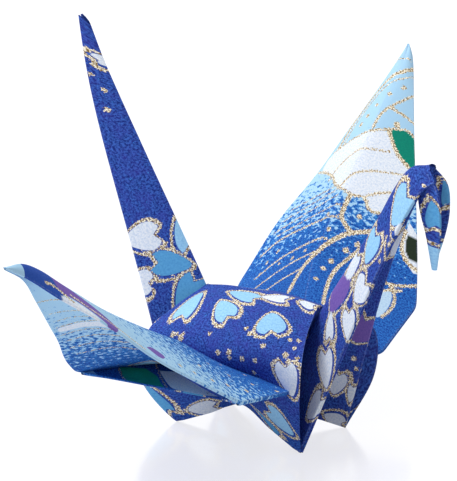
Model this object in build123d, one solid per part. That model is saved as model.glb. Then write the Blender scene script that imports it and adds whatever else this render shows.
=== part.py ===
from build123d import *
from math import cos, radians, sin, sqrt, tan
import os

os.makedirs("parts", exist_ok=True)

# Driving dimensions, mm and degrees
SHEET = 150.0            # side of the square sheet
PAPER = 0.15             # thickness of the sheet
LEAF_GAP = 0.30          # pitch between the folded leaves of a limb at its root
LEAF_GAP_TIP = 0.20      # the same pitch towards a limb's tip
LEAVES_END = 0.80        # share of the tail along which its leaves stay loose

FOOT_X = 0.0873 * SHEET          # feet, from the middle towards neck and tail
FOOT_Y = 0.048 * SHEET           # feet, from the middle towards each wing
RIDGE_X = 0.081 * SHEET          # half length of the body's ridge
RIDGE_Z = 0.165 * SHEET          # height of the ridge
CORNER_X = 0.107 * SHEET         # upper corners of the body's sides
CORNER_Y = 0.078 * SHEET
CORNER_Z = 0.116 * SHEET
SHOULDER_Y = 0.066 * SHEET       # puffed side, just below the ridge
SHOULDER_Z = 0.144 * SHEET
BULGE_Y = 0.090 * SHEET          # and where it stands out furthest
BULGE_Z = 0.108 * SHEET
NOTCH_Y = 0.028 * SHEET          # apex of the notch between two feet
NOTCH_Z = 0.035 * SHEET
STACK_START = 0.07               # inner edge of the stacked leaves, as a share of their width
CROTCH_X = 0.010 * SHEET         # where a limb's spine meets its reverse fold
CROTCH_Z = 0.030 * SHEET

TAIL_ANGLE = 61.0                # tail spine above the floor
TAIL_TIP_HALF = 0.013 * SHEET    # width of each half at the blunt tip
NECK_ANGLE = 60.0                # neck spine above the floor
NECK_LENGTH = 0.346 * SHEET      # spine, crotch to the start of the bend
CROWN_RISE = 0.021 * SHEET       # rounded bend above the spine's end
CROWN_RUN = 0.020 * SHEET
NECK_EDGE_X = 0.226 * SHEET      # top of the neck's front edges
NECK_EDGE_Y = 0.013 * SHEET
NECK_EDGE_Z = 0.353 * SHEET
HEAD_TOP_DROP = 0.016 * SHEET    # start of the head's spine, below the crown
HEAD_LENGTH = 0.102 * SHEET
HEAD_ANGLE = -79.0               # head spine, below the horizontal
HEAD_HALF = 0.028 * SHEET        # widest half of the head
HEAD_OPEN = 0.018 * SHEET        # how far each half stands open
BEAK_HALF = 0.008 * SHEET

WING_ROOT_X = 0.003 * SHEET      # ridge of the wing where it leaves the body
WING_ROOT_Y = 0.092 * SHEET
WING_ROOT_Z = 0.099 * SHEET
TUCK = 0.012 * SHEET             # how far the wing's root reaches into the body's side
ROOT_CORNER_X = 0.093 * SHEET    # corners of the wing's root fold
ROOT_CORNER_Y = 0.083 * SHEET
ROOT_CORNER_Z = 0.086 * SHEET
NEAR_RISE = (33.5, 30.0)         # rise of the wing's ridge, inside and outside its widest point
NEAR_SWEEP = (0.0, 0.0)          # sweep towards the tail
NEAR_DROP = 25.0                 # fall of each half of the wing from its ridge
FAR_RISE = (25.0, 42.0)
FAR_SWEEP = (22.0, 2.6)
FAR_DROP = 26.0
WING_TIP_HALF = 0.008 * SHEET

# Lengths that the crease pattern of the crane fixes
NARROW = tan(radians(11.25))             # half width of a narrowed limb for its length
LIMB = SHEET / 2.0                       # folded limb, tip to the middle of the base
WIDEST = SHEET * 0.1756                  # the wing's widest point, above the middle
WIDEST_HALF = NARROW * (LIMB + WIDEST)
ROOT_FOLD = SHEET * 0.056                # the wing's root fold, above the middle


def along(length, degrees):
    """A step of this length in the crane's middle plane, this steep above the floor."""
    return Vector(length * cos(radians(degrees)), 0, length * sin(radians(degrees)))


def mirrored(point):
    """The same point on the other side of the crane."""
    return Vector(point.X, -point.Y, point.Z)


def section(left, middle, right, inside, leaves, gap):
    """Outline of a folded limb's cut: two halves that meet at a ridge fold.

    Each half is one strip of paper that runs out to the edge, turns under, runs back and,
    with four leaves, turns and runs out and back once more between the first two leaves.
    """
    across_left = (left - middle).normalized()
    across_right = (right - middle).normalized()
    normal = across_left.cross(across_right).normalized()
    opening = radians(across_left.get_angle(across_right) / 2.0)
    path = []
    for edge, across in ((left, across_left), (right, across_right)):
        inward = normal.cross(across).normalized()
        if inward.dot(inside) < 0:
            inward = inward * -1.0
        length = (edge - middle).length - PAPER / 2.0

        def at(reach, depth):
            return middle + across * reach + inward * depth

        def clear(depth):
            return (depth + PAPER) / tan(opening) + PAPER

        inner = length - 1.6 * PAPER
        half = [at(length, 0.0)]
        if leaves == 4:
            half.append(at(length, 3.0 * gap))
            half.append(at(clear(3.0 * gap), 3.0 * gap))
            half.append(at(clear(3.0 * gap), 2.0 * gap))
            half.append(at(inner, 2.0 * gap))
            half.append(at(inner, gap))
            half.append(at(clear(gap), gap))
        else:
            half.append(at(length, gap))
            half.append(at(clear(gap), gap))
        path.append(half)
    line = list(reversed(path[0])) + [middle] + path[1]
    return ribbon(line, normal, PAPER)


def pressed(left, middle, right, inside, thick):
    """Outline of a limb's cut where all leaves of each half lie pressed together."""
    across_left = (left - middle).normalized()
    across_right = (right - middle).normalized()
    normal = across_left.cross(across_right).normalized()
    opening = radians(across_left.get_angle(across_right) / 2.0)
    bisector = (across_left + across_right).normalized()
    if bisector.dot(inside) < 0:
        bisector = bisector * -1.0
    depth = (thick - PAPER) / 2.0
    apex = middle + bisector * (depth / sin(opening))
    line = []
    for edge, across in ((left, across_left), (right, across_right)):
        inward = (bisector - across * bisector.dot(across)).normalized()
        line.append(edge + inward * depth)
    return ribbon([line[0], apex, line[1]], normal, thick)


def ribbon(line, normal, width):
    """Closed outline of a strip of the given width along a flat broken line."""
    sides = ([], [])
    for index, point in enumerate(line):
        before = (point - line[index - 1]).normalized() if index > 0 else None
        after = (line[index + 1] - point).normalized() if index < len(line) - 1 else None
        first = before or after
        second = after or before
        normal_a = normal.cross(first)
        normal_b = normal.cross(second)
        mitre = (normal_a + normal_b).normalized()
        reach = (width / 2.0) / mitre.dot(normal_a)
        sides[0].append(point + mitre * reach)
        sides[1].append(point - mitre * reach)
    return sides[0] + list(reversed(sides[1]))


def skin(sections):
    """Closed solid through a row of ribbon outlines that have the same number of corners.

    A twisted patch is split the same way on both sides of a leaf, and the halves mirror it.
    """
    faces = []
    for ends in (sections[0], sections[-1]):
        faces.append(Face(Wire.make_polygon(ends, close=True)))
    for lower, upper in zip(sections, sections[1:]):
        count = len(lower)
        strip = count // 2
        for index in range(count):
            after = (index + 1) % count
            step = index if index < strip else count - 2 - index
            corners = (lower[index], lower[after], upper[after], upper[index])
            if (step >= strip // 2) != (index >= strip):
                corners = corners[1:] + corners[:1]
            faces.extend(triangles(corners))
    return Solid(Shell(faces))


def triangles(corners):
    """One flat face for a flat four-cornered patch, or two triangles for a twisted one."""
    first, second, third, fourth = corners
    normal = (second - first).cross(third - first)
    if normal.length > 1e-9 and abs(normal.normalized().dot(fourth - first)) < 1e-7:
        return [Face(Wire.make_polygon(corners, close=True))]
    return [Face(Wire.make_polygon((first, second, third), close=True)),
            Face(Wire.make_polygon((first, third, fourth), close=True))]


def sheet(points, faces, paper=PAPER, shift=0.0):
    """A folded piece of paper: flat triangles thickened evenly about their corners."""
    normals = {name: Vector(0, 0, 0) for name in points}
    for a, b, c in faces:
        normal = (points[b] - points[a]).cross(points[c] - points[a]).normalized()
        for name in (a, b, c):
            normals[name] = normals[name] + normal
    top = {n: points[n] + normals[n].normalized() * (shift + paper / 2.0) for n in points}
    low = {n: points[n] + normals[n].normalized() * (shift - paper / 2.0) for n in points}
    built = []
    edges = {}
    for a, b, c in faces:
        built.append(Face(Wire.make_polygon((top[a], top[b], top[c]), close=True)))
        built.append(Face(Wire.make_polygon((low[a], low[c], low[b]), close=True)))
        for start, end in ((a, b), (b, c), (c, a)):
            edges[(start, end)] = True
    for start, end in edges:
        if (end, start) not in edges:
            built.extend(triangles((top[start], top[end], low[end], low[start])))
    return Solid(Shell(built))


def body():
    """Puffed body: two sides, the two reverse-folded ends and the hole underneath."""
    near = {
        "ridge": Vector(0, 0, RIDGE_Z),
        "shoulder": Vector(0, -SHOULDER_Y, SHOULDER_Z),
        "bulge": Vector(0, -BULGE_Y, BULGE_Z),
        "notch": Vector(0, -NOTCH_Y, NOTCH_Z),
    }
    for end, side in (("front", 1), ("rear", -1)):
        near[end + "_ridge"] = Vector(side * RIDGE_X, 0, RIDGE_Z)
        near[end + "_corner"] = Vector(side * CORNER_X, -CORNER_Y, CORNER_Z)
        near[end + "_foot"] = Vector(side * FOOT_X, -FOOT_Y, 0)
        near[end + "_crotch"] = Vector(side * CROTCH_X, 0, CROTCH_Z)
    half = []
    for end, turn in (("front", False), ("rear", True)):
        ridge, corner = end + "_ridge", end + "_corner"
        foot, crotch = end + "_foot", end + "_crotch"
        for face in (("ridge", "shoulder", ridge), ("shoulder", corner, ridge),
                     ("shoulder", "bulge", corner), ("bulge", foot, corner),
                     ("bulge", "notch", foot), (ridge, corner, foot),
                     (ridge, foot, crotch), (crotch, foot, "notch")):
            half.append(tuple(reversed(face)) if turn else face)
    on_middle = ("ridge", "front_ridge", "rear_ridge", "front_crotch", "rear_crotch")
    points = dict(near)
    for name, point in near.items():
        if name not in on_middle:
            points["far_" + name] = mirrored(point)
    faces = list(half)
    for face in half:
        names = [name if name in on_middle else "far_" + name for name in face]
        faces.append(tuple(reversed(names)))
    shell = sheet(points, faces)
    pieces = [shell]
    for end, turn in (("front", False), ("rear", True)):
        corner, foot = near[end + "_corner"], near[end + "_foot"]
        corners = {
            "bulge": near["bulge"] + (corner - near["bulge"]) * STACK_START,
            "notch": near["notch"] + (foot - near["notch"]) * STACK_START,
            end + "_foot": foot,
            end + "_corner": corner,
        }
        stack = [("bulge", end + "_foot", end + "_corner"), ("bulge", "notch", end + "_foot")]
        if turn:
            stack = [tuple(reversed(face)) for face in stack]
        thick = 3.0 * PAPER
        leaf = sheet(corners, stack, paper=thick, shift=thick / 2.0)
        pieces.append(leaf)
        pieces.append(leaf.mirror(Plane.XZ))
    return pieces


def limb_root(side):
    """Section of a limb at its reverse fold: both feet and the crotch between them."""
    left = Vector(side * FOOT_X, -FOOT_Y, 0)
    middle = Vector(side * CROTCH_X, 0, CROTCH_Z)
    return section(left, middle, mirrored(left), Vector(side, 0, 0), 4, LEAF_GAP)


def tail():
    """Tail: two four-leaved halves that meet at the spine and open to the rear."""
    rear = Vector(-1, 0, 0)
    spine = Vector(-CROTCH_X, 0, CROTCH_Z)
    foot = Vector(-FOOT_X, -FOOT_Y, 0)
    end = spine + along(LIMB - 1.5 * TAIL_TIP_HALF, 180.0 - TAIL_ANGLE)
    left = end + Vector(-TAIL_TIP_HALF, -TAIL_TIP_HALF * 0.5, TAIL_TIP_HALF * 0.3)
    middle = spine + (end - spine) * LEAVES_END
    edge = foot + (left - foot) * LEAVES_END
    loose = section(edge, middle, mirrored(edge), rear, 4, LEAF_GAP_TIP)
    stack = 3.0 * LEAF_GAP_TIP + PAPER
    flat = pressed(edge, middle, mirrored(edge), rear, stack)
    tip = pressed(left, end, mirrored(left), rear, 3.0 * PAPER)
    return [skin([limb_root(-1), loose]), skin([flat, tip])]


def neck_and_head():
    """Neck with its rounded bend, and the head folded down and forward out of it."""
    front = Vector(1, 0, 0)
    spine = Vector(CROTCH_X, 0, CROTCH_Z)
    end = spine + along(NECK_LENGTH, NECK_ANGLE)
    foot = Vector(FOOT_X, -FOOT_Y, 0)
    edge = Vector(NECK_EDGE_X, -NECK_EDGE_Y, NECK_EDGE_Z)
    below = edge + (foot - edge) * 0.10
    crown = end + Vector(CROWN_RUN, 0, CROWN_RISE)
    stack = 3.0 * LEAF_GAP_TIP + PAPER
    pieces = [skin([limb_root(1), section(below, end, mirrored(below), front, 4, LEAF_GAP_TIP)]),
              skin([pressed(below, end, mirrored(below), front, stack),
                    pressed(edge, crown, mirrored(edge), front, stack)])]
    top = crown + Vector(0.3 * CROWN_RUN, 0, -HEAD_TOP_DROP)
    inset = Vector(2.5 * PAPER, 0, -2.0 * PAPER)
    left = edge + inset
    stations = [pressed(left, crown + inset, mirrored(left), front, stack)]
    for share, half, spread in ((0.18, HEAD_HALF, 0.9), (0.35, HEAD_HALF, 1.0),
                                (0.60, 0.8 * HEAD_HALF, 0.75), (1.0, BEAK_HALF, 0.2)):
        middle = top + along(share * HEAD_LENGTH, HEAD_ANGLE)
        open_by = min(HEAD_OPEN * spread, 0.85 * half)
        left = middle + Vector(sqrt(half ** 2 - open_by ** 2), -open_by, 0.3 * half)
        thick = stack if share < 1.0 else 3.0 * PAPER
        stations.append(pressed(left, middle, mirrored(left), front, thick))
    return pieces + [skin(stations)]


def heading(side, rise, sweep):
    """Unit step out along a wing: this rise above the floor, this sweep to the tail."""
    flat = cos(radians(rise))
    return Vector(-flat * sin(radians(sweep)), side * flat * cos(radians(sweep)),
                  sin(radians(rise)))


def wing(side, rise, sweep, drop):
    """Wing: a ridged top sheet, its folded hems and the loose leaves under it."""
    inner = heading(side, rise[0], sweep[0])
    outer = heading(side, rise[1], sweep[1])
    root = Vector(WING_ROOT_X, side * WING_ROOT_Y, WING_ROOT_Z)
    wide = root + inner * (WIDEST - ROOT_FOLD)
    tip = wide + outer * (LIMB - WIDEST - 2.0 * WING_TIP_HALF)
    across = Vector(cos(radians(sweep[1])), side * sin(radians(sweep[1])), 0)
    down = outer.cross(across).normalized()
    if down.Z > 0:
        down = down * -1.0
    fall = radians(drop)

    def pair(middle, half):
        return [middle + across * (turn * half * cos(fall)) + down * (half * sin(fall))
                for turn in (-1, 1)]

    corner = Vector(ROOT_CORNER_X, side * ROOT_CORNER_Y, ROOT_CORNER_Z)
    rear_root = Vector(-corner.X, corner.Y, corner.Z)
    tuck = Vector(0, -side * TUCK, -0.3 * TUCK)
    tucked = corner + tuck * 1.5 - Vector(0.5 * TUCK, 0, 0)
    rear_tucked = Vector(-tucked.X, tucked.Y, tucked.Z)
    rear_wide, front_wide = pair(wide, WIDEST_HALF)
    rear_tip, front_tip = pair(tip, WING_TIP_HALF)
    under = Vector(0, 0, -1)
    tucked_cut = section(rear_tucked, root + tuck, tucked, under, 4, LEAF_GAP)
    root_cut = section(rear_root, root, corner, under, 4, LEAF_GAP)
    wide_cut = section(rear_wide, wide, front_wide, under, 4, LEAF_GAP)
    hem_cut = section(rear_wide, wide, front_wide, under, 2, LEAF_GAP)
    tip_cut = section(rear_tip, tip, front_tip, under, 2, LEAF_GAP_TIP)
    return [skin([tucked_cut, root_cut, wide_cut]), skin([hem_cut, tip_cut])]


def crane():
    """The whole crane as the one folded sheet that it is."""
    pieces = body() + tail() + neck_and_head()
    pieces += wing(-1, NEAR_RISE, NEAR_SWEEP, NEAR_DROP)
    pieces += wing(1, FAR_RISE, FAR_SWEEP, FAR_DROP)
    whole = pieces[0].fuse(*pieces[1:])
    low = whole.bounding_box().min.Z
    return whole.moved(Location((0, 0, -low)))


part = crane()
print("solids", len(part.solids()), "volume", round(part.volume, 1), "size", part.bounding_box().size)
export_step(part.solid(), "parts/crane.step")
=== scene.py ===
from math import cos, radians, sin, sqrt, tan

import bpy
import numpy as np
from bpy.props import FloatProperty, FloatVectorProperty, PointerProperty
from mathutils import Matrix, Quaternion, Vector


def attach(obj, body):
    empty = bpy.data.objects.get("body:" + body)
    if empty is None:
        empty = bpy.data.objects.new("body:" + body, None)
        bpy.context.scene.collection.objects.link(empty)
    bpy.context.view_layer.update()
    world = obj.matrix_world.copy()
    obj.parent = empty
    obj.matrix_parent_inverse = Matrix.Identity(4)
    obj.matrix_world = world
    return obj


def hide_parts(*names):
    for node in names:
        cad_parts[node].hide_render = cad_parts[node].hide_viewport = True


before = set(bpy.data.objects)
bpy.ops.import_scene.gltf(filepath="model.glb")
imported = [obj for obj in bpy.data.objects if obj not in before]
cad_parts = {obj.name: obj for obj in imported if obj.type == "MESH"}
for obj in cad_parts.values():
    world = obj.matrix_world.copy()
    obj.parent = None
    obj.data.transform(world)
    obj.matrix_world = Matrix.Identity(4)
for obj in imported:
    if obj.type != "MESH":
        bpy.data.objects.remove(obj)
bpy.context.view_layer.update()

bl_info = {
    "name": "Paper Crane",
    "version": (1, 0, 0),
    "blender": (4, 5, 0),
    "location": "3D View > Sidebar > Crane",
    "description": "Folds a paper crane from one printed square and sets the stage for it",
    "category": "Add Mesh",
}

MM = 0.001

# The folding pattern of a crane, from a sheet of this side, mm
SIDE = 150.0
PAPER = 0.15
LIMB = SIDE / 2.0
NARROW = tan(radians(11.25))
CENTRE = SIDE * (sqrt(2.0) - 1.0) / 2.0
WIDEST = 0.1756 * SIDE
ROOT_FOLD = 0.056 * SIDE
HEM_LINE = ((0.0, -LIMB), (NARROW * 2.0 * LIMB, LIMB))
TOP_LINE = ((0.0, LIMB), (CENTRE, 0.0))

STEP = 0.32              # spacing of the mesh across a leaf, mm
PRINTED, PLAIN = 0.0, 1.0
UNWORN = 9.0             # distance from a fold that stands for no fold near, mm
ON_LINE = 1e-6           # keeps a point of the middle line on its own half, mm


def vector(*values):
    return np.array(values, dtype=float)


# Flat sheet

def reflected(points, line):
    """Flat points mirrored in a line, given by two points on it."""
    start, end = np.array(line[0]), np.array(line[1])
    step = (end - start) / np.linalg.norm(end - start)
    offset = points - start
    foot = start + (offset @ step)[..., None] * step
    return 2.0 * foot - points


def unfold(base, leaf, far=False):
    """Place on the sheet of points that are given on the flat folded base.

    The base lies with its wing tip up and its two limb tips down, x counted from its middle.
    The sheet's centre is 0, its neck corner is on +x and its near wing's corner on -y.
    """
    turn = np.where(base[..., 0] < 0, -1.0, 1.0)
    flat = np.stack([np.abs(base[..., 0]), base[..., 1]], -1)
    if leaf.endswith("_out"):
        flat = reflected(flat, HEM_LINE)
    if leaf.startswith("side"):
        flat = reflected(flat, TOP_LINE)
    x, y = flat[..., 0], flat[..., 1]
    if leaf.startswith("wall"):
        flat = np.stack([turn * (CENTRE - y), -x], -1)
    else:
        flat = np.stack([turn * x, -CENTRE - y], -1)
    if far:
        flat[..., 1] *= -1.0
    return flat


# Curves and grids, mm

def soft_path(corners, count, pull=1.0):
    """Points at even parameter steps along a soft curve through the corners."""
    corners = np.array(corners, dtype=float)
    steps = np.linalg.norm(np.diff(corners, axis=0), axis=1)
    knots = np.concatenate([[0.0], np.cumsum(steps)]) / steps.sum()
    slopes = np.zeros_like(corners)
    for index in range(len(corners)):
        low, high = max(index - 1, 0), min(index + 1, len(corners) - 1)
        slopes[index] = pull * (corners[high] - corners[low]) / (knots[high] - knots[low])
    return hermite(knots, corners, slopes, np.linspace(0.0, 1.0, count))


def hermite(knots, values, slopes, places):
    """Cubic curve through values at knots with the given slopes."""
    index = np.clip(np.searchsorted(knots, places, side="right") - 1, 0, len(knots) - 2)
    shape = (-1,) + (1,) * (values.ndim - 1)
    span = (knots[index + 1] - knots[index]).reshape(shape)
    s = (places - knots[index]).reshape(shape) / span
    return ((2 * s ** 3 - 3 * s ** 2 + 1) * values[index]
            + (s ** 3 - 2 * s ** 2 + s) * span * slopes[index]
            + (3 * s ** 2 - 2 * s ** 3) * values[index + 1]
            + (s ** 3 - s ** 2) * span * slopes[index + 1])


def soft_grid(net, rows, columns):
    """Smooth surface through a small net of points."""
    net = np.array(net, dtype=float)
    for count in (rows, columns):
        knots = np.linspace(0.0, 1.0, len(net))
        slopes = np.gradient(net, knots, axis=0)
        net = np.swapaxes(hermite(knots, net, slopes, np.linspace(0, 1, count)), 0, 1)
    return net


def worn_corner(path, passes):
    """A path with its corners softened, as a fold in paper rounds them."""
    path = path.copy()
    for _ in range(passes):
        path[1:-1] = 0.25 * path[:-2] + 0.5 * path[1:-1] + 0.25 * path[2:]
    return path


def joined(parts):
    """One path from several that share their ends."""
    rows = [part[:-1] for part in parts[:-1]] + [parts[-1]]
    return np.concatenate(rows)


def unit(vectors):
    """Vectors of length 1."""
    return vectors / np.maximum(np.linalg.norm(vectors, axis=-1, keepdims=True), 1e-9)


def grid_normals(grid):
    """Normals at a grid's points."""
    down = np.gradient(grid, axis=0)
    over = np.gradient(grid, axis=1)
    return unit(np.cross(down, over))


def facing(grid, outward):
    """Normals of a grid, all on the side that looks outward."""
    normal = grid_normals(grid)
    return normal if np.mean(np.sum(normal * outward, axis=-1)) >= 0 else -normal


def mirrored(grid):
    """The same grid on the far side of the crane."""
    return grid * vector(1.0, -1.0, 1.0)


class Paper:
    """One mesh that grows from grids of points, each with its place on the flat sheet."""

    def __init__(self, thickness):
        self.thickness = thickness
        self.points, self.flat, self.kind, self.fold = [], [], [], []
        self.faces = []
        self.count = 0

    def add(self, grid, flat, outward, kind=PRINTED, fold=None):
        """Add a grid; outward is the way its first column's faces look."""
        rows, columns = grid.shape[:2]
        index = np.arange(rows * columns).reshape(rows, columns) + self.count
        quads = np.stack([index[:-1, :-1], index[:-1, 1:], index[1:, 1:], index[1:, :-1]], -1)
        middle = slice(0, max(2, columns // 3))
        normal = grid_normals(grid[:, middle] if columns > 3 else grid)
        if -np.mean(np.sum(normal * outward, axis=-1)) < 0:
            quads = quads[..., ::-1]
        self.faces.append(quads.reshape(-1, 4))
        self.points.append(grid.reshape(-1, 3))
        self.flat.append(flat.reshape(-1, 2))
        self.kind.append(np.full(rows * columns, kind))
        wear = np.full((rows, columns), UNWORN) if fold is None else fold
        self.fold.append(wear.reshape(-1))
        self.count += rows * columns

    def merged(self):
        """The points with their values, and the faces."""
        parts = (self.points, self.flat, self.kind, self.fold, self.faces)
        return [np.concatenate(part) for part in parts]


def between(start, end, shares):
    """Grid of straight lines from each point of one path to its partner on another."""
    shares = np.asarray(shares)[None, :, None]
    return start[:, None, :] * (1.0 - shares) + end[:, None, :] * shares


# A folded edge from its upper to its under side: how far each point stands out, in fold radii,
# and its height, in half thicknesses. Four plies show two folds with a groove between them.
FOLDED_EDGE = {
    2: [(0.30, 0.8), (0.62, 0.0), (0.30, -0.8)],
    4: [(0.35, 0.85), (0.60, 0.50), (0.35, 0.18), (-0.5, 0.0), (0.25, -0.18), (0.45, -0.50),
        (0.25, -0.85)],
}
SET_BACK, ROUNDEST = 0.45, 0.4   # where the edge's fold starts, in radii; most radius by width
CLOSING = 1.6            # width over which a leaf thins out towards its ridge, mm
ROUND_OFF = 1.6          # print that goes round a folded edge, in thicknesses
EDGE_WEAR, GROOVE_WEAR = 0.06, 0.5       # distance from a fold that the wear is drawn for, mm


def leaf(paper, ridge, edge, outward, thick, flat_ridge, flat_edge, flat_under,
         plies=2, sag=0.0):
    """Half of a folded limb or wing: outer face, rounded folded edge, inner face."""
    width = np.linalg.norm(edge - ridge, axis=1)
    across = unit(edge - ridge)
    along = unit(np.gradient(0.5 * (ridge + edge), axis=0))
    normal = unit(np.cross(along, across))
    normal *= np.sign(np.sum(normal * outward, axis=1))[:, None]
    thick = np.broadcast_to(thick, width.shape)
    radius = np.minimum(thick / plies, ROUNDEST * width)
    shares = np.linspace(0.0, 1.0, max(4, int(width.max() / STEP)))
    rim = FOLDED_EDGE[plies]
    reach = (width - SET_BACK * radius) / np.maximum(width, 1e-6)
    columns, flats, folds = [], [], []

    def place(share, height, overhang=0.0):
        free = np.clip(share * width / CLOSING, 0.0, 1.0)
        lift = height * 0.5 * thick * free * (2.0 - free)
        bow = sag * 4.0 * share * (1.0 - share)
        point = ridge + (edge - ridge) * (share * reach)[:, None]
        point = point + across * (overhang * radius)[:, None]
        return point + normal * (lift + bow)[:, None]

    for share in shares:
        columns.append(place(share, 1.0))
        flats.append(flat_ridge + (flat_edge - flat_ridge) * share)
        folds.append(np.minimum((1.0 - share) * width, share * width))
    beyond = unit(flat_edge - flat_ridge)
    pitch = ROUND_OFF / (len(rim) + 2) * thick
    for index, (overhang, height) in enumerate(rim):
        columns.append(place(1.0, height, overhang))
        flats.append(flat_edge + beyond * (pitch * (index + 1))[:, None])
        folds.append(np.full_like(width, EDGE_WEAR if height > 0.4 else GROOVE_WEAR))
    for share in shares[::-1]:
        columns.append(place(share, -1.0))
        flats.append(flat_under[0] + (flat_under[1] - flat_under[0]) * share)
        folds.append(np.minimum((1.0 - share) * width, share * width + 1.0))
    paper.add(np.stack(columns, 1), np.stack(flats, 1), normal.mean(axis=0),
              fold=np.stack(folds, 1))


def thin(paper, grid, flat, outward, gap=None, fold=None, back=PLAIN, free=(), rim_kind=PLAIN):
    """A single sheet: printed face on the grid, plain back, and a rim along free edges.

    The back closes up to the face along the other edges, which are folds that two sheets share.
    """
    normal = facing(grid, outward)
    close = np.ones(grid.shape[:2])
    picks = {"top": np.s_[0, :], "bottom": np.s_[-1, :], "left": np.s_[:, 0],
             "right": np.s_[:, -1]}
    for name, pick in picks.items():
        if name not in free:
            close[pick] = 0.0
    rear = grid - normal * ((gap or paper.thickness) * close)[..., None]
    paper.add(grid, flat, outward, fold=fold)
    paper.add(rear, flat, -np.asarray(outward), kind=back)
    centre = grid.reshape(-1, 3).mean(axis=0)
    for name in free:
        pick = picks[name]
        rim = np.stack([grid[pick], rear[pick]], 1)
        away = rim.reshape(-1, 3).mean(axis=0) - centre
        paper.add(rim, np.stack([flat[pick], flat[pick]], 1), away, kind=rim_kind)


# Shape of this crane, mm; x towards the neck, y away from the viewer, z up

CROTCH = vector(1.5, 0.0, 4.5)
FOOT = vector(13.1, -7.2, 0.15)
REAR_CROTCH = vector(-1.5, 0.0, 4.5)
REAR_FOOT = vector(-13.1, -7.2, 0.15)
NOTCH = vector(-1.0, -4.2, 5.4)
FLARE = vector(-1.35, -0.25, -0.1)       # how the rear leaves stand away from the body
FLARE_START = 0.35                       # where they start to, as a share of half its length
UNDER_KNOT = vector(0.4, -12.6, 8.9)     # where the leaves under a wing meet on the body

NECK_SPINE = [CROTCH, (13.3, 0, 25.4), (17.4, 0, 32.1), (23.2, 0, 41.8), (27.4, 0, 49.4),
              (30.0, 0, 52.3), (33.2, 0, 53.1)]
NEAR_NECK_EDGE = [FOOT, (23.9, -4.4, 28.6), (29.0, -3.1, 41.2), (31.8, -2.6, 46.9),
                  (33.4, -2.4, 49.3), (35.7, -2.2, 51.0)]
FAR_NECK_EDGE = [FOOT, (22.2, -4.4, 28.6), (27.4, -2.9, 41.4), (30.6, -2.2, 47.6),
                 (32.2, -1.9, 50.4), (33.4, -1.8, 52.4)]
HEAD_SPINE = [(30.6, 0, 51.2), (30.9, 0, 48.5), (31.5, 0, 44.9), (32.7, 0, 41.0), (34.0, 0, 35.2)]
HEAD_EDGE = [(34.0, -1.7, 52.2), (36.2, -2.3, 49.6), (36.8, -2.3, 45.6), (36.5, -1.7, 41.4),
             (35.2, -0.4, 35.4)]
FAR_HEAD = vector(-1.1, -0.35, 0.0)
TAIL_SPINE = [REAR_CROTCH, (-11.6, 0, 23.9), (-24.4, 0, 46.0), (-32.6, 0, 60.4), (-35.8, 0, 67.1)]
TAIL_TIP = vector(-38.2, -0.4, 68.8)

BODY_NET = [
    [(-11.4, 0, 23.9), (-6.0, 0, 24.7), (0.6, 0, 24.9), (7.0, 0, 25.0), (11.8, 0, 24.5)],
    [(-13.8, -6.2, 21.2), (-7.6, -7.0, 23.0), (0.3, -7.8, 23.4), (7.8, -7.2, 23.0),
     (13.6, -6.2, 21.5)],
    [(-16.0, -11.7, 17.2), (-8.6, -12.6, 18.3), (0, -13.4, 17.6), (8.6, -12.7, 18.3),
     (16.0, -11.8, 17.3)],
    [(-15.2, -10.6, 8.6), (-8.2, -10.4, 10.2), (0, -10.4, 11.4), (8.2, -10.4, 10.2),
     (15.0, -10.6, 8.6)],
    [(-13.1, -7.2, 0.1), (-7.0, -5.9, 2.7), (-1.0, -4.5, 5.3), (6.1, -5.9, 2.7),
     (13.1, -7.2, 0.1)],
]

NEAR_RIDGE = [(0.2, -11.6, 14.0), (0.3, -13.2, 15.0), (0.4, -26.5, 24.2), (0.4, -35.9, 29.3),
              (0.4, -46.5, 35.6), (0.4, -56.0, 42.2), (0.3, -61.2, 46.0), (0.2, -65.6, 48.3),
              (0.0, -69.4, 48.7)]
NEAR_LEAD = [(13.2, -10.6, 12.4), (14.0, -12.6, 12.9), (17.7, -32.0, 18.2), (16.0, -41.2, 24.4),
             (12.8, -48.6, 30.1), (8.5, -56.3, 37.6), (4.5, -61.8, 42.3), (1.7, -66.0, 46.2),
             (0.1, -69.4, 48.4)]
NEAR_TRAIL = [(-13.2, -10.6, 12.4), (-14.0, -12.6, 12.9), (-16.8, -31.0, 16.2),
              (-15.0, -36.0, 20.2), (-11.5, -42.2, 26.0), (-8.0, -48.8, 31.4),
              (-4.6, -56.4, 38.5), (-1.6, -63.2, 44.6), (-0.2, -69.2, 48.2)]
FAR_RIDGE = [(0.2, 11.6, 14.0), (-0.4, 13.2, 15.0), (-6.3, 26.4, 22.2), (-7.0, 36.4, 31.0),
             (-7.4, 44.6, 38.4), (-7.7, 53.4, 46.4), (-7.8, 58.4, 50.7), (-8.0, 61.0, 53.0),
             (-8.4, 62.6, 54.4)]
FAR_LEAD = [(14.0, 10.6, 12.4), (16.4, 13.4, 12.4), (13.2, 30.6, 15.4), (9.6, 36.7, 22.0),
            (4.9, 43.8, 30.7), (-0.2, 51.4, 39.5), (-3.3, 56.2, 45.6), (-7.0, 61.8, 52.4),
            (-8.3, 62.6, 54.4)]
FAR_TRAIL = [(-14.0, 10.6, 12.0), (-17.4, 13.6, 11.6), (-24.6, 29.8, 13.0), (-21.2, 37.2, 23.4),
             (-16.9, 44.4, 32.0), (-13.8, 51.3, 40.2), (-10.6, 57.7, 48.1), (-9.1, 61.0, 52.4),
             (-8.5, 62.6, 54.3)]

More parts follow.
